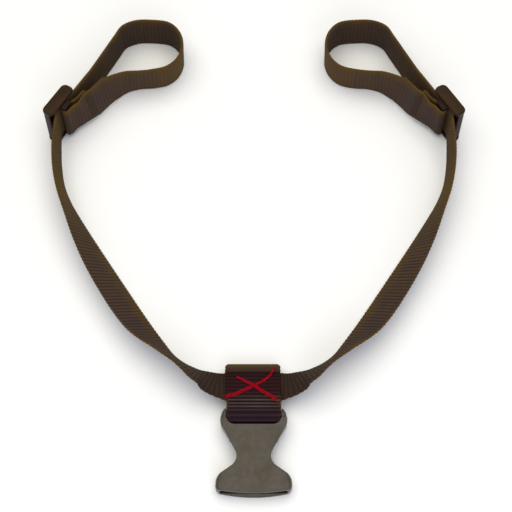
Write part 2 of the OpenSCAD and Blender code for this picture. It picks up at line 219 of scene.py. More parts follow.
def strap_rings(route):
    """For each point of a route: the webbing's lower edge, the way across it and the way through it."""
    rings = []
    for before, (x, y, lift, tilt), after in with_neighbours(route):
        heading = Vector((after[0] - before[0], after[1] - before[1], 0.0)).normalized()
        outward = Vector((-heading.y, heading.x, 0.0))
        lean = math.radians(tilt)
        across = outward * math.cos(lean) + Vector((0.0, 0.0, math.sin(lean)))
        through = Vector((0.0, 0.0, math.cos(lean))) - outward * math.sin(lean)
        rings.append((Vector((x, y, lift + strap_t / 2 * math.cos(lean))), across, through))
    return rings


def mirrored(rings):
    """The same rings for the right half of the strap."""
    flip = Vector((-1.0, 1.0, 1.0))
    return [tuple(part * flip for part in ring) for ring in rings]


# Rounded rib: how far along the rib, and how high
rib_shape = [(0.0, 0.0), (0.11, 0.62), (0.28, 0.96), (0.5, 1.0), (0.72, 0.96), (0.89, 0.62)]
# Woven edge: distance in from the edge, and share of the thickness there
edge_shape = [(0.0, 0.22), (0.00012, 0.60), (0.00035, 0.86), (0.0008, 1.0)]
inner_columns = 6


def webbing_width(width):
    """The points across one face of the webbing, edge to edge, each with its share of the thickness."""
    first, last = edge_shape[-1][0], width - edge_shape[-1][0]
    inner = [(first + (last - first) * (k + 1) / (inner_columns + 1), 1.0) for k in range(inner_columns)]
    return edge_shape + inner + [(width - s, share) for s, share in reversed(edge_shape)]


def run_lengths(points):
    """How far along a row of points each of them lies."""
    runs = [0.0]
    for before, here in zip(points, points[1:]):
        runs.append(runs[-1] + (here - before).length)
    return runs


def at_run(runs, run):
    """The number of the point before a place along the row, and the share of the way to the next."""
    i = min(bisect_right(runs, run) - 1, len(runs) - 2)
    return i, (run - runs[i]) / max(runs[i + 1] - runs[i], 1e-9)


def skin(mesh, rows, uv, uv_place):
    """Closes rows of points, each with its place along them, to a skin. Its UV map comes from a
    function of the place along and the number of the point in its row."""
    for (along_a, a), (along_b, b) in zip(rows, rows[1:]):
        for k in range(len(a)):
            m = (k + 1) % len(a)
            face = mesh.faces.new((a[k], a[m], b[m], b[k]))
            face.smooth = True
            alongs = (along_a, along_a, along_b, along_b)
            for loop, along, number in zip(face.loops, alongs, (k, k + 1, k + 1, k)):
                loop[uv].uv = uv_place(along, number)
    for along, row in (rows[0], rows[-1]):
        mesh.faces.new(row)


def mesh_piece(name, mesh):
    """A piece of the scene from its mesh, with its faces turned outwards."""
    bmesh.ops.recalc_face_normals(mesh, faces=mesh.faces)
    data = bpy.data.meshes.new(name)
    mesh.to_mesh(data)
    mesh.free()
    piece = bpy.data.objects.new(name, data)
    bpy.context.scene.collection.objects.link(piece)
    return piece


# The ribs are pressed flatter from one place along the strap to another, which lies in the loop
press_from, press_to = 0.17, 0.21
press_share = 0.65
# Their grooves are uneven, shallower at the webbing's edges, and nick the edges
uneven_share = 0.35
uneven_along, uneven_across = 900, 420
edge_groove_share = 0.35
edge_groove_reach = 0.0012
nick_depth = 0.0006
nick_reach = 0.0008


def weave(name, rings, width, thick, rib, depth, seed, start=0.0):
    """Ribbed webbing along a row of rings, which may start some way along. Its UV map is in
    centimetres along and across the weave."""
    runs = run_lengths([low + across * width / 2 for low, across, through in rings])
    length = runs[-1]
    ribs = round(length / rib)
    columns = webbing_width(width)
    around = [(s, share, 1) for s, share in columns] + [(s, share, -1) for s, share in reversed(columns)]
    steps = [(k + along, high) for k in range(ribs) for along, high in rib_shape] + [(ribs, 0.0)]

    mesh = bmesh.new()
    rows = []
    for count, high in steps:
        run = count * length / ribs
        i, t = at_run(runs, run)
        low, across, through = (a.lerp(b, t) for a, b in zip(rings[i], rings[i + 1]))
        across.normalize()
        through.normalize()
        pressed = 1.0 - press_share * ease(start + run, press_from, press_to)
        row = []
        for s, share, face in around:
            inset = min(s, width - s)
            chance = noise.noise(Vector((run * uneven_along, s * uneven_across, seed + face)))
            groove = pressed * (1.0 - high) * (1.0 + uneven_share * chance)
            sunk = depth * groove * min(1.0, edge_groove_share + inset / edge_groove_reach)
            nick = nick_depth * groove * max(0.0, 1.0 - inset / nick_reach)
            side = s + nick if s < width / 2 else s - nick
            row.append(mesh.verts.new(low + across * side + through * face * share * (thick / 2 - sunk)))
        rows.append((count, row))

    def uv_place(count, number):
        return start * 100 + count * rib * 100, around[number % len(around)][0] * 100

    skin(mesh, rows, mesh.loops.layers.uv.new("weave"), uv_place)
    return mesh_piece(name, mesh), length


def set_values(node, values):
    """Sets a shader node's inputs and settings, named with spaces as underscores."""
    for key, value in values.items():
        socket = node.inputs.get(key.replace("_", " "))
        if socket is None:
            setattr(node, key, value)
        else:
            socket.default_value = value
    return node


def add_node(tree, kind, **values):
    """A shader node with its inputs and settings."""
    return set_values(tree.nodes.new(kind), values)


def feed(tree, socket, value):
    """Gives an input another socket's value, or a number or colour."""
    if isinstance(value, bpy.types.NodeSocket):
        tree.links.new(value, socket)
    elif isinstance(value, tuple):
        socket.default_value = (*value, 1.0)
    else:
        socket.default_value = value


def sum_node(tree, operation, first, second=0.0):
    """A Math node on two sockets or numbers. Its result is a socket."""
    node = tree.nodes.new("ShaderNodeMath")
    node.operation = operation
    for socket, value in zip(node.inputs, (first, second)):
        feed(tree, socket, value)
    return node.outputs[0]


def ranged(tree, value, low, high, first=0.0, last=1.0):
    """A socket that goes from first to last while a value goes from low to high."""
    node = tree.nodes.new("ShaderNodeMapRange")
    for socket, setting in zip(node.inputs, (value, low, high, first, last)):
        feed(tree, socket, setting)
    return node.outputs["Result"]


def mix_node(tree, share, first, second):
    """A colour between two colours or sockets."""
    node = tree.nodes.new("ShaderNodeMix")
    node.data_type = "RGBA"
    tree.links.new(share, node.inputs["Factor"])
    feed(tree, node.inputs[6], first)
    feed(tree, node.inputs[7], second)
    return node.outputs[2]


def axes(tree, vector):
    """The X, Y and Z sockets of a vector."""
    node = tree.nodes.new("ShaderNodeSeparateXYZ")
    tree.links.new(vector, node.inputs[0])
    return node.outputs


def new_finish(name, **values):
    """A new material, its node tree and its shader."""
    material = bpy.data.materials.new(name)
    material.use_nodes = True
    tree = material.node_tree
    return material, tree, set_values(tree.nodes["Principled BSDF"], values)


def tint(tree, share, colour):
    """Turns a finish towards another colour by a share that changes from place to place."""
    base = tree.nodes["Principled BSDF"].inputs["Base Color"]
    tree.links.new(mix_node(tree, share, base.links[0].from_socket, colour), base)


def roughen(tree, height, strength, distance):
    """Gives a finish a fine relief from a height socket."""
    bump = add_node(tree, "ShaderNodeBump", Strength=strength, Distance=distance)
    tree.links.new(height, bump.inputs["Height"])
    tree.links.new(bump.outputs["Normal"], tree.nodes["Principled BSDF"].inputs["Normal"])


# Effect of ribbed weaving: threads that pass over each rib, grooves between the ribs for painted shade,
# ribs of uneven tone, fading, and edges with a painted highlight
weaving = bpy.data.node_groups.new("ribbed_weaving", "ShaderNodeTree")
weaving.interface.new_socket("Place", in_out="INPUT", socket_type="NodeSocketVector")
for name in ("Ribs", "Sharpness", "Yarns", "Width", "Lower Rubbing", "Upper Rubbing"):
    weaving.interface.new_socket(name, in_out="INPUT", socket_type="NodeSocketFloat")
for name in ("Height", "Crest", "Fading", "Fibre", "Edge"):
    weaving.interface.new_socket(name, in_out="OUTPUT", socket_type="NodeSocketFloat")
given = weaving.nodes.new("NodeGroupInput").outputs
results = weaving.nodes.new("NodeGroupOutput").inputs
sums = partial(sum_node, weaving)
least_edge_highlight = 0.01
tone_range = 0.14
parts = axes(weaving, given["Place"])
rib_count = sums("MULTIPLY", parts["X"], given["Ribs"])
rib_number = sums("FLOOR", rib_count)
rib_angle = sums("MULTIPLY", rib_count, math.pi)
rib_wave = sums("ABSOLUTE", sums("SINE", rib_angle))
yarn_shift = sums("MULTIPLY", rib_number, 0.5)
yarn_count = sums("ADD", sums("MULTIPLY", parts["Y"], given["Yarns"]), yarn_shift)
yarn_wave = sums("ABSOLUTE", sums("SINE", sums("MULTIPLY", yarn_count, math.pi)))
fibre = add_node(weaving, "ShaderNodeTexNoise", Scale=70.0, Detail=4.0, Roughness=0.65)
fading = add_node(weaving, "ShaderNodeTexNoise", Scale=1.1, Detail=3.0, Roughness=0.6)
for noise_node in (fibre, fading):
    weaving.links.new(given["Place"], noise_node.inputs["Vector"])
rib_tone = add_node(weaving, "ShaderNodeTexWhiteNoise", noise_dimensions="1D")
weaving.links.new(rib_number, rib_tone.inputs["W"])
tone = sums("MULTIPLY", sums("SUBTRACT", rib_tone.outputs["Value"], 0.5), tone_range)
other_edge = sums("SUBTRACT", given["Width"], parts["Y"])
edge_shares = [
    ranged(weaving, from_edge, 0.0, sums("ADD", given[highlight_socket], least_edge_highlight), 1.0, 0.0)
    for from_edge, highlight_socket in ((parts["Y"], "Lower Rubbing"), (other_edge, "Upper Rubbing"))
]
patchy = ranged(weaving, fading.outputs["Fac"], 0.3, 0.6, 0.5, 1.0)
half_rib = sums("POWER", sums("ABSOLUTE", sums("COSINE", rib_angle)), 0.25)
half_dip = sums("ADD", sums("MULTIPLY", half_rib, 0.3), 0.7)
crest = sums("POWER", rib_wave, given["Sharpness"])
thread_top = sums("MULTIPLY", yarn_wave, rib_wave)
fuzz = sums("MULTIPLY", fibre.outputs["Fac"], 0.5)
for name, value in (
    ("Height", sums("ADD", thread_top, fuzz)),
    ("Crest", sums("MULTIPLY", crest, half_dip)),
    ("Fading", sums("ADD", fading.outputs["Fac"], tone)),
    ("Fibre", fibre.outputs["Fac"]),
    ("Edge", sums("MULTIPLY", sums("MAXIMUM", *edge_shares), patchy)),
):
    weaving.links.new(value, results[name])


def webbing_finish(name, thread, worn, groove, edge_highlight_colour, rib, sharpness, width, yarns):
    """Matt woven thread: painted shade in the grooves, worn paler in places, and a painted highlight along
    its edges.
    """
    material, tree, shader = new_finish(
        name, Specular_IOR_Level=0.06,
        Sheen_Weight=0.03, Sheen_Roughness=0.45, Sheen_Tint=(1.0, 0.85, 0.6, 1.0),
    )
    place = add_node(tree, "ShaderNodeUVMap", uv_map="weave").outputs["UV"]
    cloth = add_node(
        tree, "ShaderNodeGroup", node_tree=weaving,
        Ribs=0.01 / rib, Sharpness=sharpness, Yarns=yarns, Width=width * 100,
        Lower_Rubbing=0.12, Upper_Rubbing=0.12,
    )
    tree.links.new(place, cloth.inputs["Place"])
    faded = mix_node(tree, ranged(tree, cloth.outputs["Fading"], 0.35, 0.7), thread, worn)
    dark = tuple(c * 0.6 for c in thread)
    flecked = mix_node(tree, cloth.outputs["Fibre"], dark, faded)
    pressing = ranged(tree, axes(tree, place)["X"], press_from * 100, press_to * 100, 0.0, press_share)
    crest = sum_node(tree, "MAXIMUM", cloth.outputs["Crest"], pressing)
    # Painted shade in the grooves between the ribs
    ribbed = mix_node(tree, crest, groove, flecked)
    # Painted highlight along the edges
    edged = mix_node(tree, cloth.outputs["Edge"], ribbed, edge_highlight_colour)
    tree.links.new(edged, shader.inputs["Base Color"])
    rough = ranged(tree, cloth.outputs["Fibre"], 0.0, 1.0, 0.78, 0.95)
    tree.links.new(rough, shader.inputs["Roughness"])
    roughen(tree, cloth.outputs["Height"], 0.6, 0.0001)
    return material


strap_finish = webbing_finish(
    "strap_webbing", (0.074, 0.050, 0.046), (0.104, 0.063, 0.028), (0.018, 0.012, 0.011),
    (0.094, 0.054, 0.008), strap_rib, 0.8, strap_w, 18.0,
)
# Painted highlight and darkening at places along the strap, in centimetres from the tab's middle: how far a
# painted highlight reaches in from its lower and its upper edge, how much of its whole face is painted lit,
# and how much darker it is. It is darker beside the tab, and the painted highlight is strongest next to the
# slider and at the loop's inner turn
highlight_and_darkening_places = (
    (2.0, 0.0, 0.0, 0.0, 0.65), (4.5, 0.5, 0.1, 0.0, 0.1), (8.0, 0.9, 0.0, 0.0, 0.0),
    (12.5, 0.9, 0.0, 0.2, 0.0), (15.0, 0.6, 0.0, 0.9, 0.0), (17.5, 0.3, 0.3, 0.6, 0.0),
    (23.0, 0.3, 0.6, 0.35, 0.0), (26.0, 0.0, 0.4, 0.0, 0.0), (29.0, 0.1, 0.5, 0.1, 0.0),
    (31.0, 0.5, 0.7, 0.75, 0.0), (33.0, 0.1, 0.6, 0.25, 0.0), (36.0, 0.1, 0.45, 0.0, 0.0),
)
highlight_and_darkening_end = 45.0
strongest_edge_highlight = 0.85
strap_tree = strap_finish.node_tree
strap_run = axes(strap_tree, strap_tree.nodes["UV Map"].outputs["UV"])["X"]
highlight_and_darkening_ramp = strap_tree.nodes.new("ShaderNodeValToRGB")
strap_tree.links.new(sum_node(strap_tree, "DIVIDE", strap_run, highlight_and_darkening_end), highlight_and_darkening_ramp.inputs["Fac"])
stops = highlight_and_darkening_ramp.color_ramp.elements
stops.remove(stops[1])
stops[0].position = 0.0
stops[0].color = highlight_and_darkening_places[0][1:]
for place, *shares in highlight_and_darkening_places:
    stops.new(place / highlight_and_darkening_end).color = shares
highlight_and_darkening_shares = strap_tree.nodes.new("ShaderNodeSeparateColor")
strap_tree.links.new(highlight_and_darkening_ramp.outputs["Color"], highlight_and_darkening_shares.inputs["Color"])
cloth = strap_tree.nodes["Group"]
strap_tree.links.new(highlight_and_darkening_shares.outputs["Red"], cloth.inputs["Lower Rubbing"])
strap_tree.links.new(highlight_and_darkening_shares.outputs["Green"], cloth.inputs["Upper Rubbing"])
edge_mix = cloth.outputs["Edge"].links[0].to_socket
# Painted highlight along the edges, and over the whole face at some places
edge_highlight_share = sum_node(strap_tree, "MAXIMUM", cloth.outputs["Edge"], highlight_and_darkening_shares.outputs["Blue"])
strap_tree.links.new(sum_node(strap_tree, "MULTIPLY", edge_highlight_share, strongest_edge_highlight), edge_mix)
# Darker beside the tab
tint(strap_tree, highlight_and_darkening_ramp.outputs["Alpha"], (0.022, 0.012, 0.010))
gathered_share = 0.84
gather_start = 0.021
gather_end = 0.029
far_p = strap_from_bar + strap_w


def gather(x, p, q):
    """A point of the strap, drawn in beside the tab, whose stitches bunch the strap up."""
    share = gathered_share + (1 - gathered_share) * ease(abs(x), gather_start, gather_end)
    return on_tab(x, far_p - (far_p - p) * share, q)


# The stations on both sides of each arm's joint
bend_stations = (6, 8)
left_rings = strap_rings(smooth(stations, route_steps))
split_at = (loop_split - 1) * route_steps
strap_lengths = {}
for side, rings, body, joint_name, seed in (
    ("left", left_rings, "left_arm", "left_arm_spread", 3.0),
    ("right", mirrored(left_rings), "right_arm", "right_arm_spread", 11.0),
):
    piece, length = weave(
        side + "_strap", rings[: split_at + 1], strap_w, strap_t, strap_rib, strap_rib_depth, seed
    )
    strap_lengths[side] = length
    piece.data.materials.append(strap_finish)
    for vertex in piece.data.vertices:
        if abs(vertex.co.x) < gather_end and vertex.co.y < 0.0:
            vertex.co = gather(*tab_place(vertex.co))
    before, after = (rings[number * route_steps][0] for number in bend_stations)
    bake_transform(piece)
    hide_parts("strap_middle", side + "_arm_strap", side + "_loop_strap")

# Sewn ends. Each end of the strap comes back from its loop, folds round the slider's centre bar and is
# sewn to itself. It is the same webbing, and it slides along the loop with the slider.
wrap_at = Vector((-0.0016, 0.0033))
wrap_r = 0.0016
wrap_steps = 20
sewn_front = [
    (0.018, 0.0110), (sewn_l, sewn_n), (0.012, 0.0092), (0.009, 0.0080),
    (0.005, 0.0064), (0.002, 0.0053), (-0.0016, 0.0049), (-0.0046, 0.0049),
]
sewn_tail = [
    (-0.0046, 0.0017), (-0.0016, 0.0017), (0.0026, 0.0020), (0.006, 0.0040),
    (0.009, 0.0062), (0.0135, 0.0081), (0.018, 0.0093),
]


def arc(centre, radius, start, end, steps):
    """Points on a round stretch, between two angles in degrees."""
    angles = [math.radians(start + (end - start) * k / steps) for k in range(steps + 1)]
    return [(centre[0] + radius * math.cos(g), centre[1] + radius * math.sin(g)) for g in angles]


sewn_path = (
    smooth(sewn_front, route_steps)[1:]
    + arc(wrap_at, wrap_r, 100, 260, wrap_steps)
    + smooth(sewn_tail, route_steps)
)
end_rings = []
for before, (a, n), after in with_neighbours(sewn_path):
    heading = (in_slider(*after) - in_slider(*before)).normalized()
    across = (Vector((0.0, 0.0, 1.0)) + (slider_at - in_slider(0.0, 1.0)) * lean_back(a)).normalized()
    end_rings.append((in_slider(a, n, strap_lift), across, heading.cross(across).normalized()))
return_rings = left_rings[split_at:] + end_rings
for side, rings, sign, seed in (
    ("left", return_rings, -1, 21.0),
    ("right", mirrored(return_rings), 1, 27.0),
):
    piece, length = weave(
        side + "_return", rings, strap_w, strap_t, strap_rib, strap_rib_depth, seed, strap_lengths[side]
    )
    piece.data.materials.append(strap_finish)
    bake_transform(piece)
    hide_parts(side + "_loop_return", side + "_sewn_end")

# Tab. A piece of wider, coarser ribbed webbing is folded round the buckle's bar and over the middle of
# the strap. Its back ply is turned down over the front as a small rolled hem, and the cross stitch
# pulls a hollow into the front ply.
tab_t = 0.0016
tab_rib = 0.0020
tab_rib_depth = 0.00022
ply_q = 0.00155
loop_mid = 0.0026
hem_p = strap_from_bar + strap_w + 0.0008
hem_q = 0.0032
hem_l = 0.0024
hem_r = (hem_q + ply_q) / 2
hem_mid = (hem_q - ply_q) / 2
bend = 0.0013
tab_front = [
    (hem_p + bend, ply_q), (hem_p, ply_q), (hem_p / 2, ply_q), (strap_from_bar + bend, ply_q),
    (strap_from_bar - bend, (ply_q + loop_mid) / 2), (0.0, loop_mid), (-bend, loop_mid),
]
tab_back = [(p, -q) for p, q in reversed(tab_front)]
tab_path = (
    smooth(tab_front, route_steps)
    + arc((0.0, 0.0), loop_mid, 95, 265, 40)
    + smooth(tab_back, route_steps)
    + arc((hem_p, hem_mid), hem_r, -86, 90, 40)
    + [(hem_p - hem_l / 2, hem_q), (hem_p - hem_l, hem_q)]
)
tab_rings = []
for before, (p, q), after in with_neighbours(tab_path):
    heading = (on_tab(0.0, *after) - on_tab(0.0, *before)).normalized()
    across = Vector((1.0, 0.0, 0.0))
    tab_rings.append((on_tab(-tab_w / 2, p, q), across, heading.cross(across)))
tab, tab_length = weave("tab", tab_rings, tab_w, tab_t, tab_rib, tab_rib_depth, 41.0)

# The two legs of the cross as x and p on the tab, and the hollow that they pull
cross_middle = (-0.0001, 0.0144)
cross_legs = (
    [
        (-0.0138, 0.0079), (-0.0073, 0.0104), cross_middle, (0.0039, 0.0168),
        (0.0061, 0.0187), (0.0083, 0.0209), (0.0095, 0.0232), (0.0099, 0.0246),
    ],
    [(-0.0083, 0.0197), cross_middle, (0.0059, 0.0101), (0.0125, 0.0052)],
)
hollow_depth = 0.0004
hollow_reach = 0.0014


def off_line(x, p, start, end):
    """Distance in the tab's plane from a straight stitch."""
    line = Vector(end) - Vector(start)
    t = max(0.0, min(1.0, (Vector((x, p)) - Vector(start)).dot(line) / line.length_squared))
    return (Vector(start) + line * t - Vector((x, p))).length


def hollow(x, p):
    """How far the stitches pull the front ply in."""
    nearest = min(off_line(x, p, a, b) for leg in cross_legs for a, b in zip(leg, leg[1:]))
    return hollow_depth * math.exp(-((nearest / hollow_reach) ** 2))


# The tab lies a little askew: its hem flares to the left, the hem's corners are drawn in, and the hem's
# raw end is pressed down. Round the bar it swells
askew = -0.0005
flare = 0.03
flare_from, flare_to = 0.002, 0.022
corner_draw = 0.10
corner_reach = 0.0032
hem_end = hem_p - hem_l
hem_end_share = 0.35
hem_end_reach = 0.002
loop_swell = 0.25
loop_draw = 0.03
loop_reach = loop_mid + tab_t / 2
front_top = ply_q + tab_t / 2
just_above = 0.00002
for vertex in tab.data.vertices:
    x, p, q = tab_place(vertex.co)
    if q > strap_t / 2 and strap_from_bar < p < hem_end:
        q -= hollow(x, p)
    if q > front_top + just_above and p < hem_p:
        risen = ease(p, hem_end, hem_end + hem_end_reach)
        q = front_top + (q - front_top) * (hem_end_share + (1 - hem_end_share) * risen)
    up = ease(p, flare_from, flare_to)
    past_hem = max(0.0, (p - hem_p) / corner_reach)
    past_bar = max(0.0, -p / loop_reach)
    x = x * (1 + flare * up - corner_draw * past_hem ** 2 - loop_draw * past_bar ** 2)
    p = p * (1 + loop_swell) if p < 0.0 else p
    vertex.co = on_tab(x + askew * up, p, q)
tab_finish = webbing_finish(
    "tab_webbing", (0.080, 0.060, 0.056), (0.150, 0.122, 0.108), (0.012, 0.006, 0.009),
    (0.070, 0.045, 0.022), tab_rib, 5.0, tab_w, 14.0,
)
# The stretch under the cross is pressed flat and darkened by painted shade, as the loop is, and the hem
# carries a painted highlight. These places are in centimetres along the tab
pressed_from, pressed_to = 1.3, 1.75
loop_from, loop_to = 2.05, 2.4
tab_end = tab_length * 100
hem_from = tab_end - 1.1
tab_tree = tab_finish.node_tree
tab_run = axes(tab_tree, tab_tree.nodes["UV Map"].outputs["UV"])["X"]
# Painted shade on the pressed stretch under the cross
tint(tab_tree, ranged(tab_tree, tab_run, pressed_from, pressed_to, 0.85, 0.0), (0.019, 0.004, 0.006))
# Painted shade round the loop
tint(tab_tree, ranged(tab_tree, tab_run, loop_from, loop_to, 0.0, 0.75), (0.016, 0.006, 0.014))
# Painted highlight on the hem
onto_hem = ranged(tab_tree, tab_run, hem_from, hem_from + 0.25, 0.0, 0.85)
off_hem = ranged(tab_tree, tab_run, tab_end - 0.3, tab_end, 1.0, 0.1)
tint(tab_tree, sum_node(tab_tree, "MULTIPLY", onto_hem, off_hem), (0.095, 0.056, 0.016))
tab.data.materials.append(tab_finish)
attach(tab, "yoke")
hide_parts("tab_webbing")

# Cross stitch. Two legs of thick red thread, sewn by hand through all the plies: each is three
# twisted strands laid side by side. One leg starts on the strap beside the tab and ends over the hem.
strand_r = 0.00034
strand_twist = 0.0017
strand_sides = 10
strand_step = 0.00012
strand_gap = 1.5 * strand_r
strands_in_leg = 3
strand_taper = 0.0016
strand_tip = 0.3
ply_waist = 0.62
upright = Vector((0.0, 0.0, 1.0))


def strand(mesh, points, radius, twist, turn, taper, away=upright):
    """Adds a two-ply twisted thread along points. Its UV map is in millimetres along and turns round."""
    uv = mesh.loops.layers.uv.verify()
    route = [Vector(point) for point in smooth([points[0]] + points + [points[-1]], 4)]
    runs = run_lengths(route)
    count = max(4, int(runs[-1] / strand_step))
    rows = []
    for k in range(count + 1):
        run = runs[-1] * k / count
        i, t = at_run(runs, run)
        here = route[i].lerp(route[i + 1], t)
        heading = (route[min(i + 2, len(route) - 1)] - route[max(i - 1, 0)]).normalized()
        side = heading.cross(away).normalized()
        up = side.cross(heading)
        ends = min(1.0, strand_tip + (1 - strand_tip) * min(run, runs[-1] - run) / taper)
        row = []
        for j in range(strand_sides):
            g = 2 * math.pi * j / strand_sides
            bulge = abs(math.cos(g - turn - math.pi * run / twist))
            thick = radius * ends * (ply_waist + (1 - ply_waist) * bulge)
            row.append(mesh.verts.new(here + (side * math.cos(g) + up * math.sin(g)) * thick))
        rows.append((run, row))

    def uv_place(run, number):
        return run * 1000, number / strand_sides - run / twist / 2 - turn / (2 * math.pi)

    skin(mesh, rows, uv, uv_place)


def thread_piece(name, mesh):
    """A piece of thread from its strands."""
    piece = mesh_piece(name, mesh)
    piece.data.uv_layers[0].name = "twist"
    return piece


def thread_finish(name, thread, fleck, shadow):
    """Twisted thread: paler flecks along its plies, and painted shade in the lines between them."""
    material, tree, shader = new_finish(name, Roughness=0.8, Specular_IOR_Level=0.06)
    place = add_node(tree, "ShaderNodeUVMap", uv_map="twist").outputs["UV"]
    plies = sum_node(tree, "MULTIPLY", axes(tree, place)["Y"], 2 * math.pi)
    wave = sum_node(tree, "ABSOLUTE", sum_node(tree, "COSINE", plies))
    lint = add_node(tree, "ShaderNodeTexNoise", Scale=2.2, Detail=4.0, Roughness=0.7)
    tree.links.new(place, lint.inputs["Vector"])
    flecked = mix_node(tree, ranged(tree, lint.outputs["Fac"], 0.52, 0.72), thread, fleck)
    # Painted shade between the plies
    plied = mix_node(tree, sum_node(tree, "POWER", wave, 0.5), shadow, flecked)
    tree.links.new(plied, shader.inputs["Base Color"])
    roughen(tree, lint.outputs["Fac"], 0.5, 0.00006)
    return material


sunk_share = 0.8
beside_drop = 0.0006
hem_rise_from, hem_rise_to = hem_end - 0.0012, hem_end + 0.0004


def cross_height(x, p):
    """The q at which thread lies on the tab, on its hem or on the strap beside it."""
    beside = abs(x) - tab_w / 2
    if beside > 0.0:
        return front_top - min(beside / 2, beside_drop)
    hem_top = hem_mid + math.sqrt((hem_r + tab_t / 2) ** 2 - max(0.0, p - hem_p) ** 2)
    on_front = front_top - hollow(x, p) * sunk_share
    return on_front + (hem_top - on_front) * ease(p, hem_rise_from, hem_rise_to)


# The strands of a leg lie apart at its lower end and close at its upper end, and each wanders a little.
# The second leg passes over the first
apart, drawn_together = 1.15, 0.75
together_from, together_to = 0.012, 0.021
cross_step = 0.0009
wander_most = 0.0003
crossing_reach = 0.0016
crossing_rise = 2.2 * strand_r
strand_heights = (0.7 * strand_r, 1.05 * strand_r)
cross = bmesh.new()
for number, leg in enumerate(cross_legs):
    for k in range(strands_in_leg):
        beside = (k - (strands_in_leg - 1) / 2) * strand_gap
        points = []
        for (xa, pa), (xb, pb) in zip(leg, leg[1:]):
            length = math.hypot(xb - xa, pb - pa)
            steps = max(2, int(length / cross_step))
            for step in range(steps):
                t = step / steps
                spread = apart - drawn_together * ease(pa + (pb - pa) * t, together_from, together_to)
                chance = noise.noise(Vector((xa * 300 + t * length * 350, k * 3.1, number)))
                wander = beside * spread + wander_most * chance
                x = xa + (xb - xa) * t - (pb - pa) / length * wander
                p = pa + (pb - pa) * t + (xb - xa) / length * wander
                from_middle = (Vector((x, p)) - Vector(cross_middle)).length
                crossing = math.exp(-((from_middle / crossing_reach) ** 2))
                over = strand_heights[k % 2] + number * crossing_rise * crossing
                points.append(tuple(on_tab(x, p, cross_height(x, p) + over)))
        points = points[k % 2 : len(points) - 2 * k % 3]
        strand(cross, points, strand_r, strand_twist, k * 0.9, strand_taper)
cross_stitch = thread_piece("cross_stitch", cross)
cross_stitch.data.materials.append(thread_finish(
    "red_thread", (0.27, 0.0015, 0.010), (0.72, 0.030, 0.050), (0.035, 0.001, 0.004)
))
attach(cross_stitch, "yoke")
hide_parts("red_cross_stitch")

# End stitches. Three rows of dark thread sew each folded end to itself, a little beyond the slider.
# A row is one thread that dips into the webbing at every stitch.
tack_first = 0.0009
tack_step = 0.0013
tack_rows = 3
tack_margin = 0.002
tack_r = 0.00022
stitch_l = 0.002
stitch_rise, stitch_dip = 1.3, 0.6
points_in_stitch = 6
dark_thread = thread_finish(
    "dark_thread", (0.046, 0.029, 0.022), (0.064, 0.041, 0.030), (0.026, 0.017, 0.013)
)
seam_start = Vector(sewn_front[1])
seam_way = (Vector(sewn_front[2]) - seam_start).normalized()
seam_off = Vector((seam_way.y, -seam_way.x))
seam_away = in_slider(*seam_off) - slider_at
seam_points = round((strap_w - 2 * tack_margin) / stitch_l) * points_in_stitch
for side, sign in (("left", 1), ("right", -1)):
    seam = bmesh.new()
    for row in range(tack_rows):
        points = []
        for k in range(seam_points + 1):
            up = tack_margin + k * stitch_l / points_in_stitch
            proud = tack_r * (stitch_rise * abs(math.sin(math.pi * k / points_in_stitch)) - stitch_dip)
            a, n = seam_start + seam_way * (tack_first + row * tack_step) + seam_off * (strap_t / 2 + proud)
            place = in_slider(a, n - up * lean_back(a), strap_lift + up)
            points.append((sign * place.x, place.y, place.z))
        away = Vector((sign * seam_away.x, seam_away.y, 0.0))
        strand(seam, points, tack_r, strand_twist, row * 0.7, 2 * tack_r, away)
    stitches = thread_piece(side + "_end_stitches", seam)
    stitches.data.materials.append(dark_thread)
    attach(stitches, side + "_adjuster")
    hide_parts(side + "_end_stitch")

# Buckle receptacle. The socket half of a side-release buckle, moulded in one piece of satin grey plastic:
# two waisted plates with a mouth between them that is open at the waist, and two lugs with the bar that
# the tab is folded round.
buckle_low, buckle_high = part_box("buckle_receptacle")
lip_y = buckle_low[1]
half_mouth = buckle_high[0]
mouth_t = 0.0070
slot_heights = (0.0036, bar.z + 0.0024)
slot_y = bar.y - 0.0053
slot_corner = 0.004
shoulder_x = 0.0151
shoulder_y = bar.y - 0.0047
shoulder_round = 0.0014
rear_y = shoulder_y + 0.0026
waist_at = (0.0132, lip_y + 0.0168)
waist_r = 0.0055
mouth_at = (0.0123, lip_y + 0.0052)
mouth_r = half_mouth - mouth_at[0]
lip_bow = 0.0016
lip_r = (half_mouth ** 2 + lip_bow ** 2) / (2 * lip_bow)
lip_corner = 0.0022
lip_straight = half_mouth * 0.85
mouth_depth = 0.024
mouth_wall = 0.0013
mouth_side = 0.0019
mouth_corner = 0.0016
bar_r = 0.0016
bar_in_lug = 0.0005
lug_r = 0.003
lug_in = tab_w / 2 + 0.0001


def lip_line(x):
    """The bowed lip's y at some x."""
    return lip_y + lip_r - math.sqrt(lip_r ** 2 - x ** 2)


# Half of the outline, clockwise from the shoulder to the middle of the lip, and then the whole
shoulder = Vector((shoulder_x, shoulder_y))
to_waist = Vector(waist_at) - shoulder
flank = math.atan2(to_waist.y, to_waist.x) - math.asin(waist_r / to_waist.length)
to_mouth = Vector(mouth_at) - Vector(waist_at)
tangent = math.atan2(to_mouth.y, to_mouth.x) + math.asin((waist_r + mouth_r) / to_mouth.length)
waist_out = math.degrees(tangent) + 270
corner_y = lip_line(half_mouth - lip_corner) + lip_corner
waist_arc = arc(waist_at, waist_r, math.degrees(flank) + 270, waist_out, 18)
flank_end = Vector(waist_arc[0])
round_from = shoulder + Vector((0.0, shoulder_round))
round_to = shoulder + (flank_end - shoulder).normalized() * shoulder_round
flank_at = shoulder.lerp(flank_end, 0.45)
round_shoulder = [
    tuple(round_from.lerp(shoulder, t).lerp(shoulder.lerp(round_to, t), t))
    for t in (0.0, 0.25, 0.5, 0.75, 1.0)
]
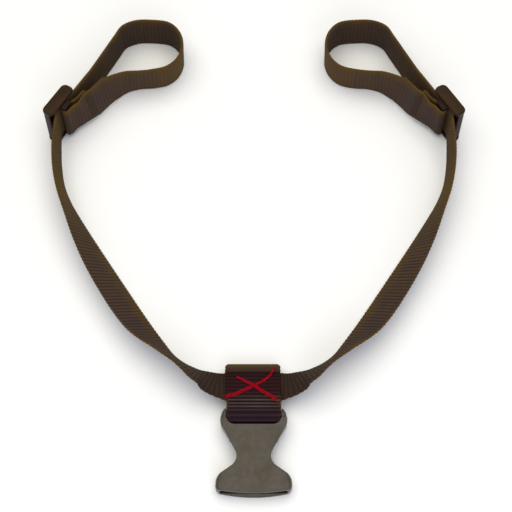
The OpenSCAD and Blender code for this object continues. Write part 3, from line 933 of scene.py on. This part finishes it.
half_outline = (
    [(shoulder_x, rear_y)]
    + round_shoulder
    + [tuple(flank_at)]
    + waist_arc
    + arc(mouth_at, mouth_r, waist_out - 180, 0, 14)
    + arc((half_mouth - lip_corner, corner_y), lip_corner, 0, -84, 8)
    + [(x, lip_line(x)) for x in (lip_straight * (1 - k / 8) for k in range(8))]
)
buckle_outline = half_outline + [(0.0, lip_y)] + [(-x, y) for x, y in reversed(half_outline)]
edge_steps = 5


def soft_block(name, outline, low, high, foot=0.0, rim=0.0):
    """A block with a clockwise outline in plan, between two heights. Its lower and upper edges are
    rounded by one radius or a list of them, one for each point, or left sharp where that is 0."""
    foot, rim = (edge if isinstance(edge, list) else [edge] * len(outline) for edge in (foot, rim))
    inward = []
    for before, here, after in zip(outline[-1:] + outline[:-1], outline, outline[1:] + outline[:1]):
        ways = [(Vector(b) - Vector(a)).normalized() for a, b in ((before, here), (here, after))]
        first, second = (Vector((way.y, -way.x)) for way in ways)
        inward.append((first + second) / (1 + first.dot(second)))
    turns = [math.pi / 2 * k / edge_steps for k in range(edge_steps + 1)]
    rings = []
    for radii, height, way, angles in ((foot, low, 1, turns[::-1]), (rim, high, -1, turns)):
        for g in angles if max(radii) > 0.0 else [0.0]:
            ring = []
            for place, step, radius in zip(outline, inward, radii):
                x, y = Vector(place) + step * radius * (1 - math.cos(g))
                ring.append((x, y, height + way * radius * (1 - math.sin(g))))
            rings.append(ring)
    bpy.ops.mesh.primitive_circle_add(vertices=len(outline), radius=0.02, fill_type="NGON")
    piece = bpy.context.object
    piece.name = name
    for vertex, place in zip(piece.data.vertices, rings[0]):
        vertex.co = place
    bpy.ops.object.mode_set(mode="EDIT")
    bpy.ops.mesh.select_all(action="SELECT")
    for ring in rings[1:]:
        bpy.ops.mesh.extrude_region_move()
        mesh = bmesh.from_edit_mesh(piece.data)
        for vertex, place in zip([v for v in mesh.verts if v.select], ring):
            vertex.co = place
        bmesh.update_edit_mesh(piece.data)
    bpy.ops.object.mode_set(mode="OBJECT")
    return turned_out(piece)


def take(piece):
    """Makes a piece the only one that is selected."""
    bpy.ops.object.select_all(action="DESELECT")
    bpy.context.view_layer.objects.active = piece
    piece.select_set(True)


def turned_out(piece):
    """The same piece, with its faces turned outwards."""
    take(piece)
    bpy.ops.object.mode_set(mode="EDIT")
    bpy.ops.mesh.select_all(action="SELECT")
    bpy.ops.mesh.normals_make_consistent(inside=False)
    bpy.ops.object.mode_set(mode="OBJECT")
    return piece


def moved(piece, where):
    """The same piece, with every point moved to where a function puts it."""
    for vertex in piece.data.vertices:
        vertex.co = where(*vertex.co)
    return turned_out(piece)


def round_corners(low, high, radius, steps):
    """A clockwise outline in plan: a rectangle with round corners."""
    corners = (
        (high[0] - radius, high[1] - radius, 90), (high[0] - radius, low[1] + radius, 0),
        (low[0] + radius, low[1] + radius, -90), (low[0] + radius, high[1] - radius, 180),
    )
    return [point for x, y, start in corners for point in arc((x, y), radius, start, start - 90, steps)]


def combine(piece, tool, operation):
    """Joins a tool block to a piece, or cuts it out."""
    modifier = piece.modifiers.new("combine", "BOOLEAN")
    modifier.operation = operation
    modifier.solver = "MANIFOLD"
    modifier.object = tool
    take(piece)
    bpy.ops.object.modifier_apply(modifier=modifier.name)
    bpy.data.objects.remove(tool)
    return piece


# The mouth's sides are round above and below, the waist only below, and the lip is nearly sharp. The
# stretches over which each radius sets in are from the middle, or from the lip
lip_edge = 0.0005
side_round = 0.0022
side_from, side_to = 0.0135, 0.0168
side_ends_from, side_ends_to = 0.010, 0.014
side_lip_share = 0.45
side_lip_from, side_lip_to = 0.002, 0.005
waist_foot = 0.0032
waist_from, waist_to = 0.008, 0.013
rear_share = 0.3
rim_radii = []
foot_radii = []
for x, y in buckle_outline:
    past_lip = y - lip_y
    at_side = ease(abs(x), side_from, side_to) * (1 - ease(past_lip, side_ends_from, side_ends_to))
    grown = side_lip_share + (1 - side_lip_share) * ease(past_lip, side_lip_from, side_lip_to)
    side = side_round * at_side * grown
    waist = waist_foot * ease(past_lip, waist_from, waist_to) * (1 - ease(y, flank_at.y, round_to.y))
    rim_radii.append(lip_edge * (1 - (1 - rear_share) * ease(y, shoulder_y, rear_y)) + side)
    foot_radii.append(lip_edge + max(side, waist))
buckle = soft_block("buckle", buckle_outline, 0.0, mouth_t, foot_radii, rim_radii)
mouth_x = half_mouth - mouth_side
mouth_outline = round_corners((-mouth_x, mouth_wall), (mouth_x, mouth_t - mouth_wall), mouth_corner, 5)
mouth = soft_block("mouth", mouth_outline, lip_y - 0.01, lip_y + mouth_depth)
combine(buckle, moved(mouth, lambda x, z, y: (x, y, z)), "DIFFERENCE")
slot_outline = round_corners((-lug_in, slot_y), (lug_in, rear_y + 2 * slot_corner), slot_corner, 8)
combine(buckle, soft_block("slot", slot_outline, -mouth_t, 2 * mouth_t), "DIFFERENCE")

# The body thins and rises from its lip, which lies on the table, to the slot. The floor of the mouth
# ends in a thick lip that bulges out a little
lower_lip = 0.0005
lower_lip_back = 0.0013
lower_lip_h = 0.0011
lower_lip_w = 0.0150
lower_lip_from, lower_lip_to = lip_y + 0.0005, lip_y + 0.0035
floor_top = 1.2 * mouth_wall


def rise(x, y, z):
    """Where a point of the flat body comes to lie."""
    near_lip = 1 - ease(y, lower_lip_from, lower_lip_to)
    bulge = near_lip * max(0.0, 1 - (x / lower_lip_w) ** 2)
    if z < floor_top:
        y += (lower_lip_back * z / mouth_wall - lower_lip) * bulge
        z += lower_lip_h * bulge * z / mouth_wall
    along = (y - lip_y) / (slot_y - lip_y)
    return x, y, z + along * (slot_heights[0] + (slot_heights[1] - slot_heights[0] - mouth_t) * z / mouth_t)


moved(buckle, rise)

# The lugs taper and round off towards their tips
slot = rear_y - bar.y
web = shoulder_y + shoulder_round - bar.y
lug_low = slot_heights[0] - bar.z + 0.0004
lug_high = slot_heights[1] - bar.z
lug_taper = 0.5
lug_out = shoulder_x - 0.00003
lug_outline = [(web, lug_high), (slot, lug_high)] + arc((0.0, 0.0), lug_r, 90, -90, 20)
lug_outline += [(slot, lug_low), (web, lug_low)]
inner_edge, outer_edge = 0.0003, 0.0021
bpy.ops.mesh.primitive_cylinder_add(
    vertices=40, radius=bar_r, depth=2 * (lug_in + bar_in_lug),
    rotation=(0.0, math.pi / 2, 0.0), location=bar,
)
bpy.ops.object.transform_apply(location=True, rotation=True, scale=True)
hanger = bpy.context.object
for sign in (-1, 1):
    lug = soft_block("lug", lug_outline, lug_in, lug_out, inner_edge, outer_edge)
    for vertex in lug.data.vertices:
        y, z, x = vertex.co
        x = lug_in + (x - lug_in) * (1 - lug_taper * ease(y, -lug_r / 2, lug_r))
        vertex.co = (sign * x, bar.y + y, bar.z + z)
    combine(hanger, turned_out(lug), "UNION")
combine(buckle, hanger, "UNION")


def finish_shading(piece):
    """Smooth shading over rounded edges, with flat faces kept flat."""
    take(piece)
    bpy.ops.object.shade_smooth_by_angle(angle=math.radians(32))


finish_shading(buckle)

# Effect of moulded plastic: a fine spark-eroded grain, a faint mottle, and rubbed patches
moulding = bpy.data.node_groups.new("moulded_skin", "ShaderNodeTree")
moulding.interface.new_socket("Place", in_out="INPUT", socket_type="NodeSocketVector")
grains = (("Height", 2600.0, 2.0), ("Mottle", 420.0, 5.0), ("Rubbed", 130.0, 4.0))
for name, scale, detail in grains:
    moulding.interface.new_socket(name, in_out="OUTPUT", socket_type="NodeSocketFloat")
given = moulding.nodes.new("NodeGroupInput").outputs
results = moulding.nodes.new("NodeGroupOutput").inputs
for name, scale, detail in grains:
    grain = add_node(moulding, "ShaderNodeTexNoise", Scale=scale, Detail=detail, Roughness=0.6)
    moulding.links.new(given["Place"], grain.inputs["Vector"])
    moulding.links.new(grain.outputs["Fac"], results[name])


def plastic_finish(name, body, pale, stain, smooth_rough, dull_rough, wall_rough, grain, gloss):
    """Moulded plastic, mottled and stained. Its upper and lower faces are dull, and its walls polished."""
    material, tree, shader = new_finish(name, Specular_IOR_Level=gloss)
    place = tree.nodes.new("ShaderNodeTexCoord")
    skin = add_node(tree, "ShaderNodeGroup", node_tree=moulding)
    tree.links.new(place.outputs["Object"], skin.inputs["Place"])
    mottled = mix_node(tree, ranged(tree, skin.outputs["Mottle"], 0.3, 0.75), body, pale)
    tree.links.new(mottled, shader.inputs["Base Color"])
    tint(tree, ranged(tree, skin.outputs["Rubbed"], 0.42, 0.68, 0.0, 0.7), stain)
    face_rough = ranged(tree, skin.outputs["Rubbed"], 0.3, 0.7, smooth_rough, dull_rough)
    facing = sum_node(tree, "ABSOLUTE", axes(tree, place.outputs["Normal"])["Z"])
    rough = ranged(tree, facing, 0.3, 0.8, wall_rough, face_rough)
    tree.links.new(rough, shader.inputs["Roughness"])
    roughen(tree, skin.outputs["Height"], grain, 0.00005)
    return material


def off_middle(tree, axis, middle):
    """How far a place on a moulding is from a middle, along one axis."""
    place = axes(tree, tree.nodes["Texture Coordinate"].outputs["Object"])
    return sum_node(tree, "ABSOLUTE", sum_node(tree, "SUBTRACT", place[axis], middle))


buckle_finish = plastic_finish(
    "buckle_plastic", (0.042, 0.037, 0.030), (0.066, 0.059, 0.048), (0.046, 0.034, 0.018),
    0.42, 0.58, 0.22, 0.35, 0.4,
)
# Inside the mouth it is darkened by painted shade: up to one distance from the middle wholly, and to
# another partly
buckle_tree = buckle_finish.node_tree
inside = 1.0
for axis, middle, wholly, partly in (
    ("X", 0.0, mouth_x, mouth_x + 0.0004),
    ("Y", lip_y + 0.0045, 0.0025, 0.0032),
    ("Z", mouth_t / 2 + 0.0002, 0.0025, 0.0028),
):
    share = ranged(buckle_tree, off_middle(buckle_tree, axis, middle), wholly, partly, 1.0, 0.0)
    inside = sum_node(buckle_tree, "MULTIPLY", share, inside)
# Painted shade inside the mouth
tint(buckle_tree, inside, (0.004, 0.003, 0.003))
buckle.data.materials.clear()
buckle.data.materials.append(buckle_finish)
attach(buckle, "buckle")
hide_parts("buckle_receptacle")

# Sliders. Each is a glossy dark moulding that stands on edge: two rails, two outer bars behind the
# strap, and a centre bar in front of it on bosses, which the strap's end is folded round.
slider_l = 0.0205
slider_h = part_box("left_slider")[1][2]
rail_h = 0.0027
rail_n = (-0.0058, 0.0013)
rail_corner, rail_edge = 0.0028, 0.0011
outer_bar_w = 0.0048
outer_bar_n = (rail_n[0] + 0.0008, -0.001)
outer_bar_inset = 0.0006
outer_bar_low = 0.0007
bar_corner, bar_edge = 0.0009, 0.0003
centre_bar_w = 0.004
centre_n = (0.00255, 0.00405)
boss_h = 0.0012
boss_a = 0.0032
boss_back = -0.0033
boss_corner, boss_edge = 0.0007, 0.0004

# Each block's two corners in plan, the radius of its corners, its two heights and its edges' radius
half_slider = slider_l / 2
slider_blocks = []
for low in (0.0, slider_h - rail_h):
    corners = ((-half_slider, rail_n[0]), (half_slider, rail_n[1]))
    slider_blocks.append((*corners, rail_corner, low, low + rail_h, rail_edge))
for low in (outer_bar_inset - half_slider, half_slider - outer_bar_inset - outer_bar_w):
    corners = ((low, outer_bar_n[0]), (low + outer_bar_w, outer_bar_n[1]))
    slider_blocks.append((*corners, bar_corner, outer_bar_low, slider_h - outer_bar_low, bar_edge))
for low in (rail_h - boss_h, slider_h - rail_h):
    corners = ((-boss_a, boss_back), (boss_a, centre_n[1]))
    slider_blocks.append((*corners, boss_corner, low, low + boss_h, boss_edge))
corners = ((-centre_bar_w / 2, centre_n[0]), (centre_bar_w / 2, centre_n[1] - 0.0001))
centre_low = rail_h - boss_h / 2
slider_blocks.append((*corners, boss_corner, centre_low, slider_h - centre_low, bar_edge))
slider_finish = plastic_finish(
    "slider_plastic", (0.021, 0.008, 0.002), (0.034, 0.015, 0.005), (0.030, 0.017, 0.002),
    0.34, 0.5, 0.3, 0.2, 0.13,
)
# The parts between the rails' outer faces are darkened by painted shade, and the rails' outer faces keep
# the moulding's colour
slot_shade_from, slot_shade_to = slider_h / 2 - 0.0014, slider_h / 2 - 0.0004
slider_tree = slider_finish.node_tree
painted_slot_shade = ranged(slider_tree, off_middle(slider_tree, "Z", slider_h / 2), slot_shade_from, slot_shade_to, 1.0, 0.0)
# Painted shade between the rails
tint(slider_tree, painted_slot_shade, (0.012, 0.004, 0.003))
slider = None
for low, high, corner, foot, top, edge in slider_blocks:
    block = soft_block("left_slider_body", round_corners(low, high, corner, 6), foot, top, edge, edge)
    slider = block if slider is None else combine(slider, block, "UNION")
moved(slider, in_slider)
twin = bpy.data.objects.new("right_slider_body", slider.data.copy())
bpy.context.scene.collection.objects.link(twin)
moved(twin, lambda x, y, z: (-x, y, z))
for piece, side in ((slider, "left"), (twin, "right")):
    finish_shading(piece)
    piece.data.materials.clear()
    piece.data.materials.append(slider_finish)
    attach(piece, side + "_adjuster")
    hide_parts(side + "_slider")

bpy.context.view_layer.update()
